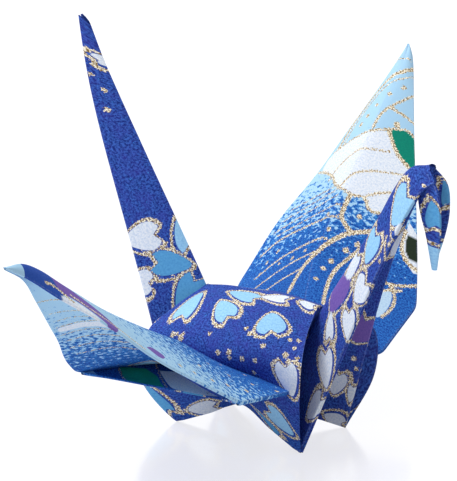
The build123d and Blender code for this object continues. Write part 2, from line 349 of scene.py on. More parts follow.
# Thickness of each limb's leaves from the body outwards, and of a wing's from its root
NECK_THICK, HEAD_THICK, TAIL_THICK = (0.95, 0.60), (0.55, 0.30), (0.95, 0.45)
WING_THICK = (0.75, 0.75, 0.42, 0.30)
HEAD_BEND, HEAD_END, TAIL_END = 58.5, 74.6, 73.0     # along the limbs, from their roots
FOOT_REACH = 3.8                         # where a limb's edge starts, at its foot
TAIL_BOW, TAIL_BOW_POWER = (-1.4, 0.0, 0.0), 2.4
LEAF_SAG, WING_SAG, HEM_SAG = 0.12, 0.25, 0.30
BODY_STRETCH = 1.06                      # how much longer the sheet is than its puffed width
BODY_SPAN = (33.0, 32.0)                 # a body side's length, and its height along the sheet
OVERLAY_TOP, OVERLAY_RISE = 0.50, 0.20   # where the overlay starts, as a share of the way down
OVERLAY_LIFT, OVERLAY_GAP = (0.06, 0.26), 0.25
OVERLAY_WIDTH, WALL_WIDTH, WALL_DIP = 16.0, 12.0, 1.2
UNDERSIDE_SHIFT = 20.0                   # from the crane's middle to its place on the sheet
# Where a wall lies on the sheet: where it starts, where its two long sides end, and how far the
# outer one lies off the sheet's middle line at its start, half-way and at its end
WALL_START, WALL_EDGE_END, WALL_LINE_END = 12.0, 36.0, 31.0
WALL_OFF = (0.5, 17.0, 14.0)
FAR_DROP = 1.3                           # how much lower the far side's bulge is
FAR_FOOT_SHIFT = vector(0.9, 1.2, 0.2)
HEM_THICK, HEM_TUCK = 0.35, 6.0
HEM_INSET = vector(0.5, 0.0, 0.12)       # how far a hem's fold lies inside the wing's edge
HEM_END = vector(0.8, 0.0, 0.1)
HINGE_OFF, HEM_OFF = (16.6, 20.1), (0.4, 20.0)       # a hem's two edges, off the wing's middle
HEM_BACK = 60.0                          # where a hem's hidden face is kept on the sheet

# Rows of the meshes
NECK_ROWS, HEAD_ROWS, TAIL_ROWS = 130, 44, 165
BODY_ROWS, BODY_COLUMNS, OVERLAY_ROWS, WALL_COLUMNS = 84, 78, 44, 26
UNDERSIDE_ROWS, UNDERSIDE_COLUMNS = 24, 8
ROOT_ROWS, INNER_ROWS, OUTER_ROWS = 5, 40, 115
THIN_ROWS = 12                           # where a wing has thinned out past its widest point
SPINE_POINTS = 400                       # for finding a height on a limb's spine
RIDGE_WEAR, RIM_WEAR = 2, 10             # rounds that soften the corners of a wing's lines


def limb_flat(count, leaf_name, far, turn, start, end):
    """Flat places along a limb's spine and along its edge, from start to end, mm."""
    reach = np.linspace(start, end, count)
    spine = np.stack([np.full(count, ON_LINE * turn), -reach], -1)
    edge_reach = reach
    if start == 0.0:
        edge_reach = FOOT_REACH + reach * (end - FOOT_REACH) / end
    edge = np.stack([turn * NARROW * (LIMB - edge_reach), -edge_reach], -1)
    return unfold(spine, leaf_name, far), unfold(edge, leaf_name, far)


def limb_half(paper, spine, edge, far, turn, start, end, thick, under="wall_out",
              outer="wall_in", plies=4):
    """One half of the neck, the tail or the head, on either side of the crane."""
    count = len(spine)
    flat_spine, flat_edge = limb_flat(count, outer, far, turn, start, end)
    flat_under = limb_flat(count, under, far, turn, start, end)
    side = 1.0 if far else -1.0
    if far:
        spine, edge = mirrored(spine), mirrored(edge)
    leaf(paper, spine, edge, vector(0, side, 0), thick, flat_spine, flat_edge, flat_under,
         plies=plies, sag=LEAF_SAG)


def bowed(start, end, count, bow, power):
    """Straight path with a sideways bow that peaks late."""
    t = np.linspace(0.0, 1.0, count)
    path = start[None, :] * (1.0 - t[:, None]) + end[None, :] * t[:, None]
    return path + np.sin(np.pi * t ** power)[:, None] * np.asarray(bow)[None, :]


def neck_and_head(paper):
    """Both halves of the neck, and of the head that is folded down from its end."""
    spine = soft_path(NECK_SPINE, NECK_ROWS)
    thick = np.linspace(*NECK_THICK, NECK_ROWS)
    head_spine = soft_path(HEAD_SPINE, HEAD_ROWS)
    head_edge = soft_path(HEAD_EDGE, HEAD_ROWS)
    head_thick = np.linspace(*HEAD_THICK, HEAD_ROWS)
    for far in (False, True):
        edge = soft_path(FAR_NECK_EDGE if far else NEAR_NECK_EDGE, NECK_ROWS)
        limb_half(paper, spine, edge, far, 1.0, 0.0, HEAD_BEND, thick)
        edge_here = head_edge + (FAR_HEAD if far else 0.0)
        limb_half(paper, head_spine, edge_here, far, 1.0, HEAD_BEND, HEAD_END, head_thick,
                  under="wall_in", outer="wall_out", plies=2)


def tail(paper):
    """Both halves of the tail."""
    spine = soft_path(TAIL_SPINE, TAIL_ROWS)
    edge = bowed(REAR_FOOT, TAIL_TIP, TAIL_ROWS, TAIL_BOW, TAIL_BOW_POWER)
    thick = np.linspace(*TAIL_THICK, TAIL_ROWS)
    for far in (False, True):
        limb_half(paper, spine, edge, far, -1.0, 0.0, TAIL_END, thick)


def body_flat(grid):
    """Flat places of a body side: along it, and down from the ridge by length."""
    steps = np.linalg.norm(np.diff(grid, axis=0), axis=2)
    down = np.concatenate([np.zeros((1, grid.shape[1])), np.cumsum(steps, axis=0)])
    return np.stack([grid[..., 0] * BODY_STRETCH, -down], -1)


def body(paper):
    """Both puffed sides, with the leaves over them and the walls at their ends."""
    for far in (False, True):
        net = np.array(BODY_NET, dtype=float)
        if far:
            net = mirrored(net)
            net[1, 1:4, 2] -= FAR_DROP
            net[3, 4] += FAR_FOOT_SHIFT
        side = 1.0 if far else -1.0
        grid = soft_grid(net, BODY_ROWS, BODY_COLUMNS)
        flat = body_flat(grid) * vector(1.0, -side)
        outward = vector(0, side, 0.4)
        across = np.linspace(0.0, BODY_SPAN[0], BODY_COLUMNS)
        fold = np.minimum(np.linspace(0.0, BODY_SPAN[1], BODY_ROWS)[:, None],
                          np.minimum(across, across[::-1])[None, :])
        thin(paper, grid, flat, outward, fold=fold, back=PRINTED)
        overlay(paper, grid, flat, outward, side)
        underside(paper, side)
        for turn in (-1.0, 1.0):
            wall(paper, grid, side, turn)


def overlay(paper, grid, flat, outward, side):
    """The narrowed leaves that lie over the lower part of a body side."""
    rows, columns = grid.shape[:2]
    normal = facing(grid, outward)
    count = OVERLAY_ROWS
    u = np.linspace(-1.0, 1.0, columns)
    top = OVERLAY_TOP + OVERLAY_RISE * (1.0 - np.abs(u)) ** 0.9
    layers, flats = [], []
    for index in range(columns):
        v = np.linspace(top[index], 1.0, count) * (rows - 1)
        low = np.clip(np.floor(v).astype(int), 0, rows - 2)
        part = (v - low)[:, None]
        ease = min(1.0, (1.0 - abs(u[index])) * 9.0)
        lift = grid[:, index] + normal[:, index] * (OVERLAY_LIFT[0] + OVERLAY_LIFT[1] * ease)
        lie = np.clip(np.linspace(-0.05, 4.0, count), -0.05, 1)[:, None]
        raised = lift[low] * (1 - part) + lift[low + 1] * part
        bare = grid[low, index] * (1 - part) + grid[low + 1, index] * part
        layers.append(raised * lie + bare * (1 - lie))
        flats.append(flat[low, index] * (1 - part) + flat[low + 1, index] * part)
    upper = np.stack(layers, 1)
    place = np.stack(flats, 1)
    flare = np.clip((-u - FLARE_START) / (1.0 - FLARE_START), 0, 1)[None, :] ** 1.6
    down = np.linspace(0.0, 1.0, count)[:, None]
    flare = flare * np.clip(4.2 * (1.0 - down) ** 0.8 * (0.35 + down), 0, 9)
    upper += flare[..., None] * FLARE * vector(1, -side, 1) * (1.0 if side < 0 else 0.5)
    inwards = OVERLAY_WIDTH * (1.0 - np.abs(u)[None, :]) + 0.5
    fold = np.minimum(np.linspace(0, OVERLAY_WIDTH, count)[:, None], inwards)
    thin(paper, upper, place, outward, gap=OVERLAY_GAP, fold=fold, back=PRINTED,
         free=("left",), rim_kind=PRINTED)


def underside(paper, side):
    """The two small triangles between a body side's lower edge and the limbs' crotches."""
    for turn in (-1.0, 1.0):
        foot = FOOT * vector(turn, -side, 1)
        crotch = CROTCH * vector(turn, 1, 1)
        notch = NOTCH * vector(1, -side, 1)
        start, end = [soft_path([inner, inner * 0.5 + foot * 0.5, foot], UNDERSIDE_ROWS)
                      for inner in (notch, crotch)]
        grid = between(start, end, np.linspace(0, 1, UNDERSIDE_COLUMNS))
        flat = grid[..., :2] + vector(turn * UNDERSIDE_SHIFT, 0.0)
        thin(paper, grid, flat, vector(0, 0, -1))


def wall(paper, side_grid, side, turn):
    """The reverse-folded wall that runs from the body's end into the pocket of a limb."""
    rows = side_grid.shape[0]
    edge = side_grid[:, -1 if turn > 0 else 0]
    spine = soft_path(NECK_SPINE if turn > 0 else TAIL_SPINE, SPINE_POINTS)
    top = np.argmin(np.abs(spine[:, 2] - edge[0, 2]))
    places = np.linspace(top, 0, rows)
    marks = np.arange(len(spine))
    line = np.stack([np.interp(places, marks, spine[:, axis]) for axis in range(3)], -1)
    ease = np.clip(1.0 - np.linspace(0, 8, rows), 0, 1)[:, None]
    line = line * (1.0 - ease) + edge[:1] * ease
    shares = np.linspace(0, 1, WALL_COLUMNS)
    grid = between(edge, line, shares)
    dip = np.sin(np.pi * shares)[None, :] * np.sin(np.pi * np.linspace(0, 1, rows))[:, None]
    grid[..., 0] -= turn * WALL_DIP * dip
    off = side * np.interp(np.linspace(0, 1, rows), (0, 0.5, 1), WALL_OFF)
    flat_edge = np.stack([turn * np.linspace(WALL_START, WALL_EDGE_END, rows), off], -1)
    flat_line = np.stack([turn * np.linspace(WALL_START, WALL_LINE_END, rows),
                          np.zeros(rows)], -1)
    flat = between(flat_edge, flat_line, shares)
    fold = np.broadcast_to(shares * WALL_WIDTH, (rows, WALL_COLUMNS)).copy()
    thin(paper, grid, flat, vector(turn, side * 0.3, 0), fold=fold, back=PRINTED)


def wing_path(corners, smooth):
    """A wing's long line: root tuck, root to widest point, widest point to tip."""
    corners = np.array(corners, dtype=float)
    parts = [soft_path(corners[:2], ROOT_ROWS), soft_path(corners[1:3], INNER_ROWS),
             soft_path(corners[2:], OUTER_ROWS)]
    return worn_corner(joined(parts), smooth)


def wing_flat(turn, name, far, on_edge):
    """Flat places along a wing's ridge, or along its edge."""
    reach = joined([np.linspace(ROOT_FOLD - 2.0, ROOT_FOLD, ROOT_ROWS),
                    np.linspace(ROOT_FOLD, WIDEST, INNER_ROWS),
                    np.linspace(WIDEST, LIMB, OUTER_ROWS)])
    if on_edge:
        half = np.minimum(NARROW * (LIMB + reach), tan(radians(22.5)) * (LIMB - reach))
    else:
        half = np.full_like(reach, ON_LINE)
    return unfold(np.stack([turn * half, reach], -1), name, far)


def wing(paper, ridge_line, lead_line, trail_line, far):
    """Both halves of a wing with the hems under them."""
    side = 1.0 if far else -1.0
    ridge = wing_path(ridge_line, RIDGE_WEAR)
    count = len(ridge)
    marks = (0, INNER_ROWS, INNER_ROWS + THIN_ROWS, count - 1)
    thick = np.interp(np.arange(count), marks, WING_THICK)
    for turn, line in ((1.0, lead_line), (-1.0, trail_line)):
        edge = wing_path(line, RIM_WEAR)
        upper, lower = [[wing_flat(turn, name, far, on_edge) for on_edge in (False, True)]
                        for name in ("raised_in", "side_in")]
        leaf(paper, ridge, edge, vector(0, 0, 1), thick, *upper, lower, sag=WING_SAG)
        flap(paper, edge, far, side, turn)


def flap(paper, edge, far, side, turn):
    """The folded hem under the inner part of a wing half; its free edge hangs open."""
    start, end = 2, ROOT_ROWS + INNER_ROWS - 2
    hinge = edge[start:end] - HEM_INSET * vector(turn, 1, 1)
    knot = UNDER_KNOT * vector(1, -side, 1)
    free = between(knot[None, :], hinge[-1:] - HEM_END * vector(turn, 1, 1),
                   np.linspace(0, 1, len(hinge)))[0]
    rows = len(hinge)
    reach = np.linspace(ROOT_FOLD, WIDEST, rows)
    low_reach = np.linspace(ROOT_FOLD - HEM_TUCK, WIDEST, rows)
    outer = [unfold(np.stack([turn * np.linspace(*span, rows), along], -1), "raised_out", far)
             for span, along in ((HINGE_OFF, reach), (HEM_OFF, low_reach))]
    inner = [flat + vector(turn * HEM_BACK, 0) for flat in outer]
    leaf(paper, hinge, free, vector(turn * 0.5, side, -1), HEM_THICK, *outer, inner,
         sag=HEM_SAG)


def near_wing(paper):
    wing(paper, NEAR_RIDGE, NEAR_LEAD, NEAR_TRAIL, False)


def far_wing(paper):
    wing(paper, FAR_RIDGE, FAR_LEAD, FAR_TRAIL, True)


# The print, by place on the flat sheet, mm

# Teal serves two uses: it is an ink of the loose petals, and it is painted shade, since the listed
# teal petals are pale petals drawn darker where they lie in shade.
# The grey is a white petal drawn a little darker, as painted shade on the neck's faces that turn
# from the light.
PALE, TEAL_AND_SHADED_PALE, WHITE, WHITE_IN_PAINTED_SHADE = "#a0d2f2", "#5ea6d6", "#ebeff5", "#e2e7f0"
PURPLE, GREEN, DARK = "#7c5fae", "#07876f", "#2c52a8"
# The bright green, and the pure white where it is used on a hem, are painted light: lighter copies
# of the green and white inks.
GREEN_IN_PAINTED_LIGHT, INK_BLACK, PAPER_WHITE, MIST = "#12a486", "#23301f", "#ffffff", "#c2dcf0"

# Petals: colour, place, way from the pointed end to the notched end, length, width
BODY_PETALS = [
    (PALE, -10.9, -7.6, -88, 9.0, 3.9), (PALE, -2.4, -8.0, -42, 6.0, 3.9),
    (PALE, 7.8, -8.2, -62, 5.0, 4.9), (WHITE, 14.4, -17.0, 104, 6.2, 4.1),
    (PALE, -1.6, -2.9, -9, 7.4, 3.2), (WHITE, 4.3, -1.5, 8, 5.8, 2.3),
    (WHITE, 10.6, -0.5, 3, 3.4, 2.2), (PALE, 10.6, -27.6, 154, 6.4, 4.6),
    # the teal petals here are pale petals drawn darker, painted shade low on the body
    (TEAL_AND_SHADED_PALE, 6.9, -30.9, -33, 7.5, 1.5), (WHITE, -7.8, -30.9, -3, 5.4, 3.3),
    (TEAL_AND_SHADED_PALE, -14.4, -28.0, -73, 7.5, 2.2),
]
NECK_PETALS = [
    (PALE, 81.4, -3.5, 9, 7.0, 4.4), (PALE, 71.2, -2.8, 18, 6.0, 3.6),
    (WHITE, 64.6, -1.4, 13, 7.2, 2.6), (PURPLE, 59.6, -1.5, 20, 8.0, 5.4),
    (WHITE, 65.0, -6.3, 0, 4.8, 4.4), (WHITE, 54.3, -4.7, 228, 4.8, 2.3),
    (WHITE, 59.1, -8.1, 52, 5.2, 3.5), (WHITE, 49.6, -8.9, 57, 6.6, 4.1),
    # the grey petals are white petals drawn darker, painted shade on the neck's shaded face
    (WHITE, 43.4, -11.8, -6, 6.2, 3.6), (WHITE_IN_PAINTED_SHADE, 43.6, 16.2, -12, 5.0, 3.4),
    (WHITE, 72.6, 6.6, 170, 6.4, 2.2), (PURPLE, 55.2, 12.2, -22, 6.0, 6.5),
    (WHITE, 42.1, 13.2, -11, 4.0, 1.6), (WHITE_IN_PAINTED_SHADE, 36.0, 16.2, -109, 4.2, 3.0),
    # the teal petals on the head are pale petals drawn darker, painted shade
    (TEAL_AND_SHADED_PALE, 96.6, -2.3, 17, 5.0, 1.7), (TEAL_AND_SHADED_PALE, 94.2, 2.4, -8, 4.6, 1.2),
]
TAIL_PETALS = [
    (WHITE, -97.4, 0.2, -70, 2.6, 1.9), (WHITE, -65.3, -6.0, 80, 6.0, 4.6),
    # the teal petals on the tail are pale petals drawn darker, painted shade
    (TEAL_AND_SHADED_PALE, -59.3, -3.8, -120, 7.0, 4.0), (WHITE, -58.6, -9.6, 60, 4.2, 4.0),
    (TEAL_AND_SHADED_PALE, -53.4, -3.2, 128, 7.4, 4.2), (PALE, -63.0, 0.2, -4, 7.0, 3.2),
]
# Gold dots: place and radius
DOTS = [
    (-10.6, -14.5, 0.55), (-8.6, -15.0, 0.6), (-9.6, -14.3, 0.35), (-8.2, -14.2, 0.35),
    (-2.7, -13.3, 0.4), (0.2, -16.2, 0.5), (2.5, -15.7, 0.55), (2.7, -16.6, 0.4),
    (5.3, -16.2, 0.45), (7.9, -15.9, 0.45), (8.8, -13.0, 0.5), (12.6, -9.9, 0.4),
    (13.9, -9.3, 0.4), (14.2, -11.2, 0.4), (4.0, -10.8, 0.4), (5.2, -11.5, 0.5),
    (13.4, -13.1, 0.55), (14.3, -14.0, 0.5), (7.4, -18.4, 0.45), (15.6, -12.9, 0.4),
    (-91.3, -1.4, 0.4), (-87.7, -2.2, 0.45), (-94.0, -2.1, 0.3), (49.0, 13.2, 0.5),
    (47.1, 12.6, 0.45), (87.5, -3.4, 0.35), (87.7, 4.2, 0.35), (90.4, -1.2, 0.3),
    (2.1, 96.7, 0.45), (0.4, 94.5, 0.4), (-1.2, 92.0, 0.4), (-2.4, 89.9, 0.45),
    (-3.3, 88.1, 0.5), (3.8, 89.2, 0.6), (4.5, 68.8, 0.5), (6.2, 63.5, 0.55),
    (4.8, 61.5, 0.6), (3.2, 58.2, 0.6), (2.2, 55.5, 0.55), (1.3, 52.0, 0.5),
    (0.5, 64.0, 0.45), (-11.3, 61.6, 0.4), (-5.9, 58.7, 0.4), (-3.0, 59.7, 0.4),
    (12.0, -70.0, 0.45), (13.2, -66.6, 0.4), (14.4, -61.4, 0.5), (15.4, -57.0, 0.45),
    (16.6, -52.4, 0.5), (10.0, -60.6, 0.4), (11.4, -52.2, 0.4), (8.2, -55.6, 0.35),
    (6.0, -48.4, 0.4), (13.8, -47.4, 0.4), (8.8, -43.6, 0.4), (16.4, -42.8, 0.45),
    (75.6, -5.9, 0.45), (74.2, -4.4, 0.3), (72.0, -6.2, 0.4), (80.6, -6.0, 0.35),
    (-9.3, 58.4, 0.35), (-13.4, 59.7, 0.35), (-14.2, 57.2, 0.35), (-1.0, 67.4, 0.35),
]
# Gold lines: half width and corners
LINES = [
    (0.16, [(-3.0, 101.0), (-0.4, 102.9), (1.2, 102.5)]),
    (0.38, [(2.2, 101.2), (-1.7, 97.7), (-4.3, 93.8), (-6.4, 89.2), (-7.2, 84.4)]),
    (0.17, [(2.6, 99.6), (-0.9, 96.6), (-3.4, 93.0), (-5.3, 88.9), (-6.0, 84.8)]),
    (0.24, [(4.4, 96.4), (2.1, 93.0), (0.5, 90.4), (0.2, 86.8)]),
    (0.26, [(1.6, 91.8), (4.0, 91.6), (6.3, 91.0)]),
    (0.24, [(-8.2, 83.4), (-4.4, 84.8), (0.1, 85.9), (2.6, 87.5), (5.6, 89.2), (7.4, 88.4)]),
    (0.20, [(-5.2, 75.9), (-4.6, 78.6), (-2.3, 80.9), (0.7, 82.2), (4.6, 83.4)]),
    (0.20, [(-1.1, 73.6), (0.4, 76.6), (2.9, 78.3), (8.4, 80.3)]),
    (0.24, [(4.2, 73.3), (6.4, 75.2), (9.6, 76.6)]),
    (0.34, [(2.9, 87.4), (4.3, 85.6), (5.8, 83.7), (8.9, 82.0)]),
    (0.28, [(-10.2, 79.4), (-7.0, 78.2), (-4.1, 76.2), (-2.6, 74.0), (1.4, 72.0), (4.2, 73.0),
            (5.3, 70.7), (7.4, 71.0), (10.0, 72.4)]),
    (0.42, [(1.5, 72.0), (1.4, 69.4), (1.5, 67.1), (4.1, 65.3)]),
    (0.44, [(11.0, 69.4), (7.6, 67.0), (4.1, 65.2), (1.6, 61.9), (0.3, 59.1), (-1.4, 55.8),
            (-3.0, 52.2), (-4.0, 48.0)]),
    (0.34, [(9.4, 66.0), (6.8, 62.6), (5.4, 59.3), (4.0, 55.2), (3.5, 50.6), (3.6, 46.0)]),
    (0.22, [(1.5, 67.1), (-4.7, 65.7), (-12.1, 64.5), (-16.4, 61.8)]),
    (0.22, [(0.7, 62.1), (-5.9, 60.8), (-12.0, 58.8), (-15.0, 55.6)]),
    (0.22, [(0.3, 58.9), (-5.9, 57.5), (-10.8, 54.3), (-14.0, 50.8)]),
    (0.22, [(-1.8, 54.9), (-6.6, 52.8), (-10.4, 49.4)]),
    (0.15, [(-2.9, 73.6), (-7.4, 72.4), (-12.6, 71.0)]),
    (0.15, [(-1.8, 72.8), (-7.4, 70.6), (-13.8, 68.6)]),
    (0.15, [(-0.6, 71.6), (-7.4, 68.8), (-14.8, 66.4)]),
    (0.15, [(0.6, 69.6), (-6.4, 67.2), (-13.6, 65.4)]),
    (0.34, [(12.8, 70.0), (13.2, 66.6), (15.2, 64.4), (18.0, 63.8)]),
    (0.30, [(12.6, 58.6), (16.2, 59.6), (19.0, 61.4)]),
    (0.30, [(16.6, 58.8), (14.2, 57.4), (12.2, 55.4)]),
    (0.26, [(101.0, -3.4), (101.4, 3.4)]),
    (0.30, [(14.4, 58.9), (16.2, 57.6), (16.2, 53.0), (14.8, 49.4)]),
    (0.24, [(77.2, -4.2), (76.6, -5.4), (76.8, -6.8)]),
    (0.24, [(75.6, -4.4), (74.4, -5.4), (73.0, -7.4)]),
    (0.20, [(4.6, -93.2), (2.4, -96.2), (2.2, -98.4)]),
    (0.22, [(5.4, -88.4), (7.6, -83.6), (10.4, -79.0)]),
    (0.20, [(3.2, -92.8), (5.9, -87.6)]),
    (0.18, [(-6.2, -90.4), (-10.6, -90.6)]),
    (0.15, [(-9.6, -85.6), (-14.2, -86.8), (-19.0, -85.8)]),
    (0.15, [(-11.0, -82.6), (-15.6, -84.4), (-20.4, -83.2)]),
    (0.20, [(-12.0, -79.8), (-17.8, -82.6), (-24.0, -81.0)]),
    (0.18, [(-13.6, -75.8), (-18.6, -78.6), (-24.0, -77.0)]),
    (0.18, [(-15.2, -72.6), (-20.4, -75.8), (-26.0, -74.0)]),
    (0.18, [(-17.0, -69.4), (-22.4, -72.6), (-28.0, -70.6)]),
    (0.18, [(-19.0, -66.4), (-24.4, -69.4), (-29.0, -67.4)]),
    (0.22, [(-77.0, -49.0), (-88.0, -48.0)]),
    (0.22, [(-77.0, -40.6), (-88.0, -39.2)]),
    (0.22, [(-78.0, -33.0), (-84.0, -30.0), (-90.0, -31.0)]),
]
# Flat areas of ink: colour and corners
AREAS = [
    (WHITE, [(-9.4, 82.0), (-7.5, 83.9), (-4.4, 84.6), (0.1, 85.7), (2.4, 87.3), (4.3, 85.6),
             (5.8, 83.7), (8.9, 82.0), (12.0, 76.0), (10.0, 72.4), (6.9, 71.0), (5.1, 70.7),
             (4.1, 73.1), (1.4, 72.2), (-2.6, 74.1), (-4.1, 76.3), (-9.6, 79.2)]),
    (GREEN, [(3.1, 87.6), (5.4, 89.0), (8.0, 88.0), (11.0, 82.0), (8.9, 81.6), (5.6, 84.2),
             (4.2, 86.0)]),
    (WHITE, [(12.8, 72.0), (16.6, 69.0), (18.4, 63.4), (16.6, 63.0), (13.2, 67.0)]),
    (WHITE, [(80.0, -5.2), (78.2, -4.8), (77.4, -6.4), (79.4, -7.0)]),
    (MIST, [(13.8, 48.4), (13.4, 55.1), (14.5, 58.4), (15.6, 57.5), (15.6, 53.0), (14.5, 49.2)]),
    (PALE, [(101.7, -5.0), (101.7, 5.0), (108.0, 5.0), (108.0, -5.0)]),
    (INK_BLACK, [(13.4, 69.8), (16.6, 69.2), (17.6, 65.8), (15.4, 65.0), (13.8, 67.0)]),
    (DARK, [(-1.6, -102.6), (5.4, -102.8), (6.0, -97.4), (4.6, -95.2), (1.6, -94.6),
            (-1.6, -96.6)]),
    (PURPLE, [(0.4, -95.6), (3.4, -95.4), (4.2, -92.0), (6.6, -88.4), (9.4, -86.2),
              (7.4, -83.8), (4.2, -86.2), (0.4, -91.6)]),
    (WHITE, [(3.8, -95.6), (6.4, -95.0), (8.8, -89.0), (6.8, -88.6), (4.4, -92.2)]),
    (PURPLE, [(9.4, -77.4), (11.8, -75.4), (10.6, -72.6), (8.6, -74.8)]),
    (WHITE, [(-12.2, -79.4), (-17.6, -82.0), (-23.4, -80.4), (-23.6, -78.0), (-18.0, -79.6),
             (-13.0, -77.0)]),
    # on a hem's hidden face, which is kept beside the sheet
    # the green and pure white here are painted light, lighter than these inks elsewhere, for light
    # reaching into the pocket under the wing
    (GREEN_IN_PAINTED_LIGHT, [(-78.4, -48.8), (-87.0, -47.6), (-87.4, -40.0), (-79.2, -41.0)]),
    (PAPER_WHITE, [(-79.6, -40.0), (-87.6, -38.0), (-89.0, -24.0), (-80.6, -25.4)]),
    (PALE, [(-78.0, -60.0), (-92.0, -58.0), (-92.0, -52.0), (-78.0, -54.0)]),
]
# The lighter ground of the wings' corners, by reach from the sheet's middle, mm: where it starts
# on the near and the far wing, and where it is full; how far it slants, and how much sooner it
# starts on the near wing's leading half
CORNER_START, CORNER_FULL = (59.0, 64.0), 76.0
CORNER_SLANT, LEADING_GAIN, LEADING_WIDTH = 0.16, 0.6, 20.0
AZURE_START, AZURE_SPAN = 24.0, 18.0
SLIP = vector(0.22, -0.16)               # how far the gold is printed beside the inks, mm
RING_ROOM = 1.1                          # how much longer and wider the outline is, mm
UNPRINTED = 9.0                          # distance that stands for no ink near, mm
# A petal's taper by place along it, its least and most girth, and its notch: where it starts as a
# share of half the length, its slope, and the length of one step along its slope
TAPER, GIRTH = 0.45, (0.3, 1.5)
NOTCH_START, NOTCH_SLOPE, NOTCH_STEP = 0.54, 0.95, 1.38
PAST_PETAL, PAST_LINE = 2.5, 2.0         # how far past its edge an ink's distance is worked out
SCATTER_SEED, TRIES, SCATTER_HALF = 11, 2600, 104
LOOSE_LENGTH, LOOSE_WIDTH, LOOSE_DOT = (5.6, 7.4), (3.8, 4.9), (0.3, 0.55)
PETAL_ROOM, DOT_REACH = 7.4, 4.4         # petals' least spacing, and their dots' reach, mm


def petal_distance(flat, x, y, way, length, width):
    """Roughly the distance to a notched petal's outline, less than 0 inside it."""
    turn = radians(way)
    right, up = flat[:, 0] - x, flat[:, 1] - y
    along = right * cos(turn) + up * sin(turn)
    off = np.abs(up * cos(turn) - right * sin(turn))
    half, share = length / 2.0, along / (length / 2.0)
    girth = width / 2.0 * np.clip(1.0 + TAPER * share, *GIRTH)
    round_part = (np.sqrt(share ** 2 + (off / girth) ** 2) - 1.0) * min(length, width) / 2.0
    notch = (along - (half * NOTCH_START + NOTCH_SLOPE * off)) / NOTCH_STEP
    return np.maximum(round_part, notch)


def line_distance(flat, corners):
    """Distance to a broken line."""
    best = np.full(len(flat), 99.0)
    for start, end in zip(corners, corners[1:]):
        start, end = np.array(start), np.array(end)
        step = end - start
        share = np.clip(((flat - start) @ step) / max(step @ step, 1e-9), 0.0, 1.0)
        best = np.minimum(best, np.linalg.norm(flat - start - share[:, None] * step, axis=1))
    return best


def smoothed(corners, rounds=2):
    """A broken line with its corners cut, so that it reads as a curve."""
    line = np.array(corners, dtype=float)
    for _ in range(rounds):
        cut = np.stack([0.75 * line[:-1] + 0.25 * line[1:], 0.25 * line[:-1] + 0.75 * line[1:]], 1)
        line = np.concatenate([line[:1], cut.reshape(-1, 2), line[-1:]])
    return line


def area_distance(flat, corners):
    """Distance to an area's outline, less than 0 inside it."""
    ring = np.array(list(corners) + [corners[0]], dtype=float)
    inside = np.zeros(len(flat), bool)
    for (ax, ay), (bx, by) in zip(ring, ring[1:]):
        crosses = (ay > flat[:, 1]) != (by > flat[:, 1])
        if by != ay:
            inside ^= crosses & (flat[:, 0] < (bx - ax) * (flat[:, 1] - ay) / (by - ay) + ax)
    return np.where(inside, -1.0, 1.0) * line_distance(flat, ring)


def kept_free(x, y):
    """Whether the place lies off the sheet, or where the listed print lies."""
    off_sheet = abs(x) + abs(y) > 103 or abs(y) > 58
    wings = abs(y) > 19 and abs(x) < 24
    near_body = -34 < y < 1 and abs(x) < 20
    near_limbs = -17 < y < 0.8 and abs(x) > 30
    far_neck = x > 38 and y > 5
    return off_sheet or wings or near_body or near_limbs or far_neck


def scattered_petals(seed, taken):
    """Loose petals and dots over the parts of the sheet that have none listed."""
    rng = np.random.default_rng(seed)
    places = [(petal[1], petal[2]) for petal in taken]
    petals, dots = [], []
    for _ in range(TRIES):
        x, y = rng.uniform(-SCATTER_HALF, SCATTER_HALF, 2)
        if kept_free(x, y):
            continue
        if min((x - a) ** 2 + (y - b) ** 2 for a, b in places) < PETAL_ROOM ** 2:
            continue
        places.append((x, y))
        colour = (PALE, PALE, WHITE, TEAL_AND_SHADED_PALE, WHITE, PURPLE)[rng.integers(6)]
        petals.append((colour, x, y, rng.uniform(0, 360), rng.uniform(*LOOSE_LENGTH),
                       rng.uniform(*LOOSE_WIDTH)))
        for _ in range(rng.integers(0, 4)):
            turn = rng.uniform(0, 2 * np.pi)
            dots.append((x + DOT_REACH * cos(turn), y + DOT_REACH * sin(turn),
                         rng.uniform(*LOOSE_DOT)))
    off_chest = [petal for petal in petals if petal[1] < 12 or not 4 < petal[2] < 19]
    return off_chest, dots


def near_place(flat, place, reach):
    """Numbers of the points that lie within reach of a place."""
    return np.nonzero(np.linalg.norm(flat - place, axis=1) < reach)[0]


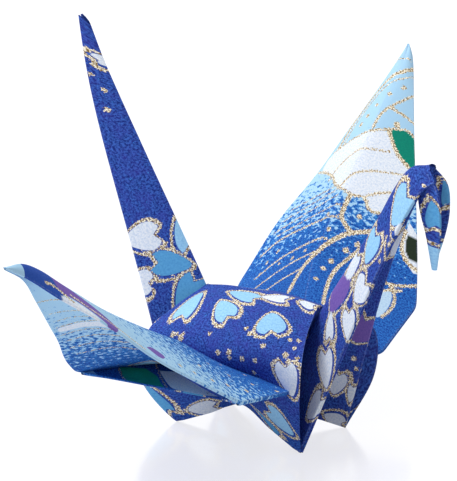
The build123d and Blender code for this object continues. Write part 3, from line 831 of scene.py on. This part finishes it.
def inked(flat):
    """Ink on each point of the sheet: distances to fills, outlines and gold, and colours."""
    count = len(flat)
    fill, ring, gold = np.full((3, count), UNPRINTED)
    tint = np.zeros((count, 3))
    petals = BODY_PETALS + NECK_PETALS + TAIL_PETALS
    loose, loose_dots = scattered_petals(SCATTER_SEED, petals)
    for colour, x, y, way, length, width in petals + loose:
        near = near_place(flat, (x, y), length * 0.5 + PAST_PETAL)
        if not len(near):
            continue
        spot = petal_distance(flat[near], x, y, way, length, width)
        outer = petal_distance(flat[near] - SLIP, x, y, way, length + RING_ROOM,
                               width + RING_ROOM)
        paint(near, spot, colour, fill, tint)
        ring[near] = np.where(np.abs(outer) < np.abs(ring[near]), outer, ring[near])
    for colour, corners in AREAS:
        spot = area_distance(flat, smoothed(list(corners) + [corners[0]], 1))
        fill[spot < 0.0] = UNPRINTED
        paint(np.arange(count), spot, colour, fill, tint)
    for width, corners in LINES:
        middle = np.mean(corners, axis=0)
        reach = np.max(np.linalg.norm(np.array(corners) - middle, axis=1)) + PAST_LINE
        near = near_place(flat, middle, reach)
        if len(near):
            spot = line_distance(flat[near], smoothed(corners)) - width
            gold[near] = np.minimum(gold[near], spot)
    for x, y, radius in DOTS + loose_dots:
        near = near_place(flat, (x, y), radius + PAST_LINE)
        spot = np.linalg.norm(flat[near] - (x, y), axis=1) - radius
        gold[near] = np.minimum(gold[near], spot)
    reach = np.abs(flat[:, 1])
    azure = np.clip((reach - AZURE_START) / AZURE_SPAN, 0, 1)
    slant = reach - CORNER_SLANT * flat[:, 0] * np.sign(flat[:, 1])
    near = flat[:, 1] < 0
    slant += near * LEADING_GAIN * np.clip(flat[:, 0], 0, LEADING_WIDTH)
    start = np.where(near, CORNER_START[0], CORNER_START[1])
    sky = np.clip((slant - start) / (CORNER_FULL - start), -1, 2.4)
    return fill, ring, gold, tint, sky, azure


def paint(near, spot, colour, fill, tint):
    """Lay one flat ink on the points that it is nearest to."""
    closer = spot < fill[near]
    fill[near[closer]] = spot[closer]
    tint[near[closer]] = linear(colour)


# Materials

INK_SHADE, GOLD_SHADE, RUBBED = "#b4cce8", "#84693c", "#a9badf"
BOARD, BOARD_SEEN, BOARD_TINT, BOARD_GLOW = "#e4e4e8", "#6e6e74", "#fcfcff", 0.76
GOLD_METAL, RELIEF = 0.10, 0.05          # share of metal in the gold ink; paper relief, mm


def linear(text):
    """Linear colour of an sRGB hex value."""
    parts = [int(text[i:i + 2], 16) / 255.0 for i in (1, 3, 5)]
    return [p / 12.92 if p <= 0.04045 else ((p + 0.055) / 1.055) ** 2.4 for p in parts]


def rgba(colour):
    """Opaque colour from an sRGB hex value or from a linear colour setting."""
    return (*(linear(colour) if isinstance(colour, str) else colour), 1.0)


def feed(tree, made, inputs):
    """Link or set the inputs of a node."""
    for name, value in inputs.items():
        if isinstance(value, bpy.types.NodeSocket):
            tree.links.new(value, made.inputs[name])
        else:
            made.inputs[name].default_value = value


def node(tree, kind, inputs, output=0, **settings):
    """Add a node with its settings and links, and give one of its outputs."""
    made = tree.nodes.new(kind)
    for name, value in settings.items():
        setattr(made, name, value)
    feed(tree, made, inputs)
    return made.outputs[output]


def new_material(name):
    """A material with its node tree and its shader."""
    material = bpy.data.materials.new(name)
    material.use_nodes = True
    tree = material.node_tree
    return material, tree, tree.nodes["Principled BSDF"]


# Grains of the paper and its inks: size in mm, detail and roughness of the noise
GRAINS = {
    "fibre": (0.36, 3.0, 0.75),      # long mulberry fibres, coarser than real ones so they show
    "cloud": (2.6, 3.0, 0.65),       # uneven purple in the ground ink
    "fleck": (0.32, 1.0, 0.55),      # breaks in the gold
    "powder": (0.26, 1.0, 0.55),     # bright and dull grains of the bronze powder
    "rub": (0.5, 2.0, 0.55),         # wear along the folds
    "relief": (0.30, 4.0, 0.75),     # the paper's surface
    "streak": (0.85, 3.0, 0.62),     # brush marks where the ground fades
}
STREAK_STRETCH = (0.85, 1.25, 1.0)
FADE_GAIN = 6.5                      # how far the brush marks reach across the fade
MARGIN = 0.10                        # least gap between a fill and the gold outside it, mm
RAGGED = 0.85                        # how far the flecks eat into the gold's edge, mm
RUB_STRENGTH = 0.20
# Shares that a grain gives: result, grain, gain and the share in the middle
SHARES = (
    ("deep_share", "fibre", 5.6, 0.5), ("cloud_share", "cloud", 1.8, 0.18),
    ("azure_share", "fibre", 5.0, 0.5), ("ink_share", "fibre", 2.4, 0.22),
    ("fade", "streak", FADE_GAIN, 0.0), ("ragged", "fleck", RAGGED, 0.0),
)
# Where the gold lies and the ground fades: result, operation and its terms
SUMS = (
    ("fade", "ADD", "fade", "sky"),
    ("ring", "ABSOLUTE", "ring"), ("ring", "SUBTRACT", "ring", "outline"),
    ("clear", "SUBTRACT", MARGIN, "fill"), ("ring", "MAXIMUM", "ring", "clear"),
    ("mark", "MINIMUM", "ring", "gold"), ("mark", "ADD", "mark", "ragged"),
)
# Soft steps: result, what it reads, where it starts and ends, the values before and after
STEPS = (
    ("fading", "fade", 0.13, 0.37, 0.0, 1.0), ("faded", "fade", 0.56, 0.76, 0.0, 1.0),
    ("filled", "fill", -0.04, 0.04, 1.0, 0.0), ("gilt", "mark", -0.03, 0.07, 1.0, 0.0),
    ("dull", "powder", 0.44, 0.56, 1.0, 0.0), ("patchy", "rub", 0.38, 0.62, 1.0, 0.0),
    ("near_fold", "fold", 0.0, 0.24, RUB_STRENGTH, 0.0),
    ("metal", "side", 0.0, 1.0, GOLD_METAL, 0.0),
)
# Layers from the ground up: result, share of the upper colour, lower and upper colour
LAYERS = (
    ("deep", "deep_share", "ground_dark", "ground_light"),
    ("deep", "cloud_share", "deep", "cloud_ink"),
    ("azures", "azure_share", "azure_dark", "azure_light"),
    ("ground", "azure", "deep", "azures"),
    ("ground", "fading", "ground", "wing_middle"),
    ("ground", "faded", "ground", "wing_tip"),
    ("printed", "filled", "ground", "shaded_ink"),
    ("golds", "dull", "gold_ink", "gold_shade"),
    ("printed", "gilt", "printed", "golds"),
    ("printed", "rubbed", "printed", "rubbed_print"),
    ("face", "side", "printed", "back"),
)


def washi_paper(look):
    """Printed washi: matt mulberry paper with opaque screen-printed inks.

    The long fibres give a fine uneven grain, the blue ground is mottled, and the gold is a
    bronze powder ink that prints broken and speckled.
    """
    material, tree, shader = new_material("screen-printed washi")
    wires = {"gold_shade": rgba(GOLD_SHADE), "rubbed_print": rgba(RUBBED),
             "outline": look.outline / MM}
    for name in INK_NAMES:
        wires[name] = rgba(getattr(look, name))
    for name in ("fill", "ring", "gold", "sky", "azure", "fold", "side"):
        wires[name] = node(tree, "ShaderNodeAttribute", {}, "Fac", attribute_name=name)
    place = node(tree, "ShaderNodeAttribute", {}, "Vector", attribute_name="sheet")
    ink = node(tree, "ShaderNodeAttribute", {}, "Color", attribute_name="ink")
    stretched = node(tree, "ShaderNodeVectorMath", {0: place, 1: STREAK_STRETCH},
                     operation="MULTIPLY")
    for name, (size, detail, rough) in GRAINS.items():
        wires[name] = node(tree, "ShaderNodeTexNoise", {
            "Vector": stretched if name == "streak" else place, "Scale": 1.0 / size,
            "Detail": detail, "Roughness": rough})
    for name, source, gain, middle in SHARES:
        wires[name] = node(tree, "ShaderNodeMath", {
            0: wires[source], 1: gain, 2: middle - 0.5 * gain}, operation="MULTIPLY_ADD")
    for name, operation, *terms in SUMS:
        terms = {index: wires.get(term, term) for index, term in enumerate(terms)}
        wires[name] = node(tree, "ShaderNodeMath", terms, operation=operation)
    for name, source, start, end, before, after in STEPS:
        wires[name] = node(tree, "ShaderNodeMapRange", {
            "Value": wires[source], "From Min": start, "From Max": end, "To Min": before,
            "To Max": after}, interpolation_type="SMOOTHSTEP")
    wires["rubbed"] = node(tree, "ShaderNodeMath", {
        0: wires["near_fold"], 1: wires["patchy"]}, operation="MULTIPLY")
    wires["shaded_ink"] = node(tree, "ShaderNodeMix", {
        0: wires["ink_share"], 6: ink, 7: rgba(INK_SHADE)}, 2,
        data_type="RGBA", blend_type="MULTIPLY")
    for name, share, lower, upper in LAYERS:
        wires[name] = node(tree, "ShaderNodeMix", {
            0: wires[share], 6: wires[lower], 7: wires[upper]}, 2, data_type="RGBA")
    metallic = node(tree, "ShaderNodeMath", {0: wires["gilt"], 1: wires["metal"]},
                    operation="MULTIPLY")
    height = node(tree, "ShaderNodeMath", {0: wires["gilt"], 1: 0.5, 2: wires["relief"]},
                  operation="MULTIPLY_ADD")
    bump = node(tree, "ShaderNodeBump", {
        "Height": height, "Strength": 0.5, "Distance": RELIEF * MM})
    feed(tree, shader, {"Base Color": wires["face"], "Metallic": metallic, "Normal": bump,
                        "Roughness": 0.75, "IOR": 1.45, "Specular IOR Level": 0.15})
    return material


def white_board():
    """White acrylic board: smooth, with a faint soft mirror image of what stands on it.

    The camera sees it near white, with the crane's shadow; it lights the crane as plain white.
    """
    material, tree, shader = new_material("white acrylic board")
    seen = node(tree, "ShaderNodeLightPath", {}, "Is Camera Ray")
    colour = node(tree, "ShaderNodeMix", {0: seen, 6: rgba(BOARD), 7: rgba(BOARD_SEEN)}, 2,
                  data_type="RGBA")
    glow = node(tree, "ShaderNodeMath", {0: seen, 1: BOARD_GLOW}, operation="MULTIPLY")
    feed(tree, shader, {"Base Color": colour, "Roughness": 0.17, "IOR": 2.0,
                        "Emission Color": rgba(BOARD_TINT), "Emission Strength": glow})
    return material


def studio_world(light):
    """Plain white surroundings, seen as white, that light the crane softly."""
    world = bpy.data.worlds.new("studio")
    world.use_nodes = True
    tree = world.node_tree
    direct = node(tree, "ShaderNodeLightPath", {}, "Is Camera Ray")
    mirrored_ray = node(tree, "ShaderNodeLightPath", {}, "Is Glossy Ray")
    seen = node(tree, "ShaderNodeMath", {0: direct, 1: mirrored_ray}, operation="MAXIMUM")
    strength = node(tree, "ShaderNodeMath", {0: seen, 1: 1.0 - light, 2: light},
                    operation="MULTIPLY_ADD")
    feed(tree, tree.nodes["Background"], {"Color": rgba(PAPER_WHITE), "Strength": strength})
    return world


# Settings, operators and panel

def ink_setting(name, description, colour):
    """A colour that a user may change, from an sRGB hex value."""
    return FloatVectorProperty(name=name, description=description, default=linear(colour),
                               subtype="COLOR", min=0.0, max=1.0)


INK_NAMES = ("ground_dark", "ground_light", "cloud_ink", "azure_dark", "azure_light",
             "wing_middle", "wing_tip", "gold_ink", "back")


class CraneSettings(bpy.types.PropertyGroup):
    """Sizes and colours that a user may change."""
    paper: FloatProperty(
        name="Paper thickness", description="Thickness of the single sheets that show",
        default=PAPER * MM, min=0.05 * MM, max=0.4 * MM, unit="LENGTH", precision=6)
    outline: FloatProperty(
        name="Outline", description="Half the width of the gold outlines",
        default=0.24 * MM, min=0.0, max=1.0 * MM, unit="LENGTH", precision=6)
    light: FloatProperty(
        name="Light", description="Strength of the soft world light",
        default=0.53, min=0.0, max=1.0)
    ground_dark: ink_setting("Ground, dark", "Darkest blue of the body's ink", "#0e2270")
    ground_light: ink_setting("Ground, light", "Lightest blue of the body's ink", "#3d66c0")
    cloud_ink: ink_setting("Cloud", "Purple that clouds the body's ink", "#3a3b9e")
    azure_dark: ink_setting("Azure, dark", "Darkest blue at the wings' roots", "#06308a")
    azure_light: ink_setting("Azure, light", "Lightest blue at the wings' roots", "#3179cc")
    wing_middle: ink_setting("Wing, middle", "Blue where the wings' ground fades", "#3384d0")
    wing_tip: ink_setting("Wing, tip", "Pale blue of the wings' tips", "#a8d0ec")
    gold_ink: ink_setting("Gold", "Bright grains of the bronze powder ink", "#faf1da")
    back: ink_setting("Back", "Bare paper on the back of the sheet", "#eceae6")


def placed(scene, name, data):
    """Put a new object into the scene."""
    made = bpy.data.objects.new(name, data)
    scene.collection.objects.link(made)
    return made


def store(mesh, label, numbers, kind="FLOAT", field="value"):
    """Keep a value, a place or a colour at each point of a mesh."""
    made = mesh.attributes.new(label, kind, "POINT")
    made.data.foreach_set(field, numbers.astype(np.float32).ravel())


def folded(context, name, build):
    """Fold one part of the sheet and ink it; nothing of it sinks under the floor."""
    look = context.scene.crane
    paper = Paper(look.paper / MM)
    build(paper)
    points, flat, kind, fold, faces = paper.merged()
    points[:, 2] = np.maximum(points[:, 2], 0.0)
    mesh = bpy.data.meshes.new(name)
    mesh.from_pydata((points * MM).tolist(), [], faces.tolist())
    mesh.polygons.foreach_set("use_smooth", [True] * len(mesh.polygons))
    fill, ring, gold, tint, sky, azure = inked(flat)
    values = {"side": kind, "fold": fold, "fill": fill, "ring": ring, "gold": gold, "sky": sky,
              "azure": azure}
    for label, numbers in values.items():
        store(mesh, label, numbers)
    beside = ((0, 0), (0, 1))
    store(mesh, "sheet", np.pad(flat, beside), "FLOAT_VECTOR", "vector")
    store(mesh, "ink", np.pad(tint, beside, constant_values=1.0), "FLOAT_COLOR", "color")
    mesh.update()
    piece = placed(context.scene, name, mesh)
    material = bpy.data.materials.get("screen-printed washi") or washi_paper(look)
    mesh.materials.append(material)
    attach(piece, "root")
    return piece


class CRANE_OT_body(bpy.types.Operator):
    """Fold the crane's body from the middle of the sheet"""
    bl_idname = "crane.body"
    bl_label = "Fold the body"

    def execute(self, context):
        piece = folded(context, "body", body)
        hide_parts("crane")
        return {"FINISHED"}


class CRANE_OT_limbs(bpy.types.Operator):
    """Fold the neck with its head, and the tail"""
    bl_idname = "crane.limbs"
    bl_label = "Fold the neck and tail"

    def execute(self, context):
        folded(context, "neck_and_head", neck_and_head)
        folded(context, "tail", tail)
        return {"FINISHED"}


class CRANE_OT_wings(bpy.types.Operator):
    """Fold both wings"""
    bl_idname = "crane.wings"
    bl_label = "Fold the wings"

    def execute(self, context):
        folded(context, "near_wing", near_wing)
        folded(context, "far_wing", far_wing)
        return {"FINISHED"}


# Lamps: name, place and size in metres, power in watts
LAMPS = (("key", (-0.35, -0.25, 0.90), 0.5, 7.6), ("fill", (-0.35, -0.85, 0.10), 0.4, 1.8))
LAMP_AIM = (0.0, 0.0, 0.03)
FLOOR_HALF = 3.0

CAMERA_PLACE = (256.54, -382.14, 185.60)         # mm
CAMERA_TURN, CAMERA_RISE, CAMERA_ROLL = 34.5675, 18.2272, -0.2266      # degrees
FOCAL_WIDTHS = 2818.07 / 457.0


def set_floor(scene):
    """The board that the crane stands on."""
    mesh = bpy.data.meshes.new("floor")
    corners = [(x * FLOOR_HALF, y * FLOOR_HALF, 0) for x, y in ((-1, -1), (1, -1), (1, 1), (-1, 1))]
    mesh.from_pydata(corners, [], [(0, 1, 2, 3)])
    board = placed(scene, "floor", mesh)
    mesh.materials.append(white_board())


def set_lamps(scene):
    """Soft lamps that look at the crane."""
    for name, place, size, power in LAMPS:
        lamp = bpy.data.lights.new(name, "AREA")
        lamp.size = size
        lamp.energy = power
        holder = placed(scene, name, lamp)
        holder.location = place
        aim = Vector(LAMP_AIM) - Vector(place)
        holder.rotation_euler = aim.to_track_quat("-Z", "Y").to_euler()


def set_camera(scene):
    """The camera, in the place that the photo was taken from."""
    turn, rise = radians(CAMERA_TURN), radians(CAMERA_RISE)
    back = Vector((sin(turn) * cos(rise), -cos(turn) * cos(rise), sin(rise)))
    roll = Quaternion((0, 0, 1), radians(CAMERA_ROLL))
    lens = bpy.data.cameras.new("camera")
    lens.sensor_fit = "HORIZONTAL"
    lens.lens = FOCAL_WIDTHS * lens.sensor_width
    scene.camera = placed(scene, "camera", lens)
    scene.camera.location = Vector(CAMERA_PLACE) * MM
    scene.camera.rotation_euler = (back.to_track_quat("Z", "Y") @ roll).to_euler()


class CRANE_OT_stage(bpy.types.Operator):
    """Set the floor, the lights and the camera"""
    bl_idname = "crane.stage"
    bl_label = "Set the stage"

    def execute(self, context):
        context.scene.view_settings.view_transform = "Standard"
        set_floor(context.scene)
        context.scene.world = studio_world(context.scene.crane.light)
        set_lamps(context.scene)
        set_camera(context.scene)
        return {"FINISHED"}


class CRANE_PT_panel(bpy.types.Panel):
    """Lists the steps that make the crane"""
    bl_label = "Paper crane"
    bl_idname = "CRANE_PT_panel"
    bl_space_type = "VIEW_3D"
    bl_region_type = "UI"
    bl_category = "Crane"

    def draw(self, context):
        layout = self.layout
        for name in CraneSettings.__annotations__:
            layout.prop(context.scene.crane, name)
        layout.operator("crane.body")
        layout.operator("crane.limbs")
        layout.operator("crane.wings")
        layout.operator("crane.stage")


CLASSES = (CraneSettings, CRANE_OT_body, CRANE_OT_limbs, CRANE_OT_wings, CRANE_OT_stage,
           CRANE_PT_panel)


def register():
    for made in CLASSES:
        bpy.utils.register_class(made)
    bpy.types.Scene.crane = PointerProperty(type=CraneSettings)


def unregister():
    del bpy.types.Scene.crane
    for made in reversed(CLASSES):
        bpy.utils.unregister_class(made)


def main():
    register()
    bpy.ops.crane.body()
    bpy.ops.crane.limbs()
    bpy.ops.crane.wings()
    bpy.ops.crane.stage()


if __name__ == "__main__":
    main()
